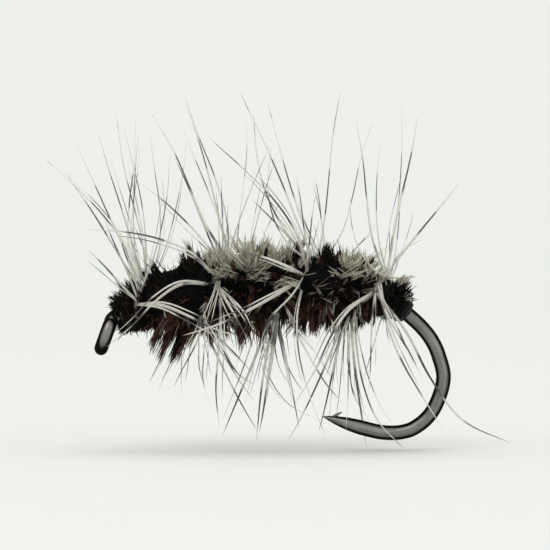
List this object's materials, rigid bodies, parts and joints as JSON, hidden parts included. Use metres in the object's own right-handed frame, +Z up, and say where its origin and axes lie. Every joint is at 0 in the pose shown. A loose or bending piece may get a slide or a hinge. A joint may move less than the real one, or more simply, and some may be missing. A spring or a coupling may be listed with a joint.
{
  "type": "dry fly",
  "caption": "Palmered dry fly: arched down-eye hook with round bend, wound peacock herl body, barred hackle spiralled over it, thread head behind the eye.",
  "frame": {"origin": "centre of the hole in the hook eye", "axes": "+X runs back from the eye along the shank to the bend, +Z is up with the hook point hanging below, +Y is the fly's right-hand side"},
  "size_m": [0.0129, 0.0098, 0.0099],
  "materials": {
    "hook_wire": "satin",
    "thread": "satin",
    "varnish": "gloss",
    "herl_quill": "satin",
    "herl_fringe": "matte",
    "feather_stem": "satin",
    "hackle_barbs": "satin"
  },
  "bodies": {
    "fly": {"hook": "hook_wire", "thread_base": "thread", "herl_butts": "herl_quill", "hackle_butt": "feather_stem", "rear_thread_wraps": "thread", "herl_quill_1": "herl_quill", "herl_quill_2": "herl_quill", "herl_quill_3": "herl_quill", "herl_fringe_front": "herl_fringe", "herl_fringe_middle": "herl_fringe", "herl_fringe_rear": "herl_fringe", "hackle_stem": "feather_stem", "herl_tips": "herl_quill", "hackle_tip": "feather_stem", "thread_head": "thread", "whip_finish": "thread", "head_cement": "varnish"},
    "hackle_1_left": {"hackle_1_left": "hackle_barbs"},
    "hackle_1_top": {"hackle_1_top": "hackle_barbs"},
    "hackle_1_right": {"hackle_1_right": "hackle_barbs"},
    "hackle_1_bottom": {"hackle_1_bottom": "hackle_barbs"},
    "hackle_2_left": {"hackle_2_left": "hackle_barbs"},
    "hackle_2_top": {"hackle_2_top": "hackle_barbs"},
    "hackle_2_right": {"hackle_2_right": "hackle_barbs"},
    "hackle_2_bottom": {"hackle_2_bottom": "hackle_barbs"},
    "hackle_3_left": {"hackle_3_left": "hackle_barbs"},
    "hackle_3_top": {"hackle_3_top": "hackle_barbs"},
    "hackle_3_right": {"hackle_3_right": "hackle_barbs"},
    "hackle_3_bottom": {"hackle_3_bottom": "hackle_barbs"},
    "hackle_4_left": {"hackle_4_left": "hackle_barbs"},
    "hackle_4_top": {"hackle_4_top": "hackle_barbs"},
    "hackle_4_right": {"hackle_4_right": "hackle_barbs"}
  },
  "joints": [
    {"name": "hackle_1_left_flex", "type": "hinge", "parent": "fly", "child": "hackle_1_left", "pos_m": [0.00088, -0.00046, 0.00102], "axis": [-0.3155, 0.5878, 0.745], "range_deg": [-30, 45], "stiffness_Nm_per_rad": 0.00000002, "deforming": ["hackle_1_left"]},
    {"name": "hackle_1_top_flex", "type": "hinge", "parent": "fly", "child": "hackle_1_top", "pos_m": [0.00107, -0.00007, 0.00135], "axis": [-0.0455, 0.9921, 0.1168], "range_deg": [-30, 45], "stiffness_Nm_per_rad": 0.00000002, "deforming": ["hackle_1_top"]},
    {"name": "hackle_1_right_flex", "type": "hinge", "parent": "fly", "child": "hackle_1_right", "pos_m": [0.00184, 0.00057, 0.00101], "axis": [0.2896, 0, -0.9572], "range_deg": [-30, 45], "stiffness_Nm_per_rad": 0.00000002, "deforming": ["hackle_1_right"]},
    {"name": "hackle_1_bottom_flex", "type": "hinge", "parent": "fly", "child": "hackle_1_bottom", "pos_m": [0.00248, 0, 0.00059], "axis": [0, -1, 0], "range_deg": [-30, 45], "stiffness_Nm_per_rad": 0.00000002, "deforming": ["hackle_1_bottom"]},
    {"name": "hackle_2_left_flex", "type": "hinge", "parent": "fly", "child": "hackle_2_left", "pos_m": [0.00308, -0.00046, 0.00161], "axis": [-0.0971, 0.5878, 0.8032], "range_deg": [-30, 45], "stiffness_Nm_per_rad": 0.00000002, "deforming": ["hackle_2_left"]},
    {"name": "hackle_2_top_flex", "type": "hinge", "parent": "fly", "child": "hackle_2_top", "pos_m": [0.00338, -0.00007, 0.00187], "axis": [-0.0116, 0.9921, 0.1248], "range_deg": [-30, 45], "stiffness_Nm_per_rad": 0.00000002, "deforming": ["hackle_2_top"]},
    {"name": "hackle_2_right_flex", "type": "hinge", "parent": "fly", "child": "hackle_2_right", "pos_m": [0.00409, 0.00057, 0.00135], "axis": [0.0446, 0, -0.999], "range_deg": [-30, 45], "stiffness_Nm_per_rad": 0.00000002, "deforming": ["hackle_2_right"]},
    {"name": "hackle_2_bottom_flex", "type": "hinge", "parent": "fly", "child": "hackle_2_bottom", "pos_m": [0.00469, 0, 0.0008], "axis": [0, -1, 0], "range_deg": [-30, 45], "stiffness_Nm_per_rad": 0.00000002, "deforming": ["hackle_2_bottom"]},
    {"name": "hackle_3_left_flex", "type": "hinge", "parent": "fly", "child": "hackle_3_left", "pos_m": [0.00551, -0.00046, 0.00169], "axis": [0.0395, 0.5878, 0.8081], "range_deg": [-30, 45], "stiffness_Nm_per_rad": 0.00000002, "deforming": ["hackle_3_left"]},
    {"name": "hackle_3_top_flex", "type": "hinge", "parent": "fly", "child": "hackle_3_top", "pos_m": [0.00579, -0.00007, 0.0019], "axis": [0.0083, 0.9921, 0.1251], "range_deg": [-30, 45], "stiffness_Nm_per_rad": 0.00000002, "deforming": ["hackle_3_top"]},
    {"name": "hackle_3_right_flex", "type": "hinge", "parent": "fly", "child": "hackle_3_right", "pos_m": [0.0063, 0.00057, 0.00129], "axis": [-0.0991, 0, -0.9951], "range_deg": [-30, 45], "stiffness_Nm_per_rad": 0.00000002, "deforming": ["hackle_3_right"]},
    {"name": "hackle_3_bottom_flex", "type": "hinge", "parent": "fly", "child": "hackle_3_bottom", "pos_m": [0.00671, 0, 0.00066], "axis": [0, -1, 0], "range_deg": [-30, 45], "stiffness_Nm_per_rad": 0.00000002, "deforming": ["hackle_3_bottom"]},
    {"name": "hackle_4_left_flex", "type": "hinge", "parent": "fly", "child": "hackle_4_left", "pos_m": [0.00752, -0.00046, 0.00138], "axis": [0.2769, 0.5878, 0.7602], "range_deg": [-30, 45], "stiffness_Nm_per_rad": 0.00000002, "deforming": ["hackle_4_left"]},
    {"name": "hackle_4_top_flex", "type": "hinge", "parent": "fly", "child": "hackle_4_top", "pos_m": [0.00772, -0.00007, 0.00155], "axis": [0.047, 0.9921, 0.1162], "range_deg": [-30, 45], "stiffness_Nm_per_rad": 0.00000002, "deforming": ["hackle_4_top"]},
    {"name": "hackle_4_right_flex", "type": "hinge", "parent": "fly", "child": "hackle_4_right", "pos_m": [0.00773, 0.00057, 0.00093], "axis": [-0.4573, 0, -0.8893], "range_deg": [-30, 45], "stiffness_Nm_per_rad": 0.00000002, "deforming": ["hackle_4_right"]}
  ]
}
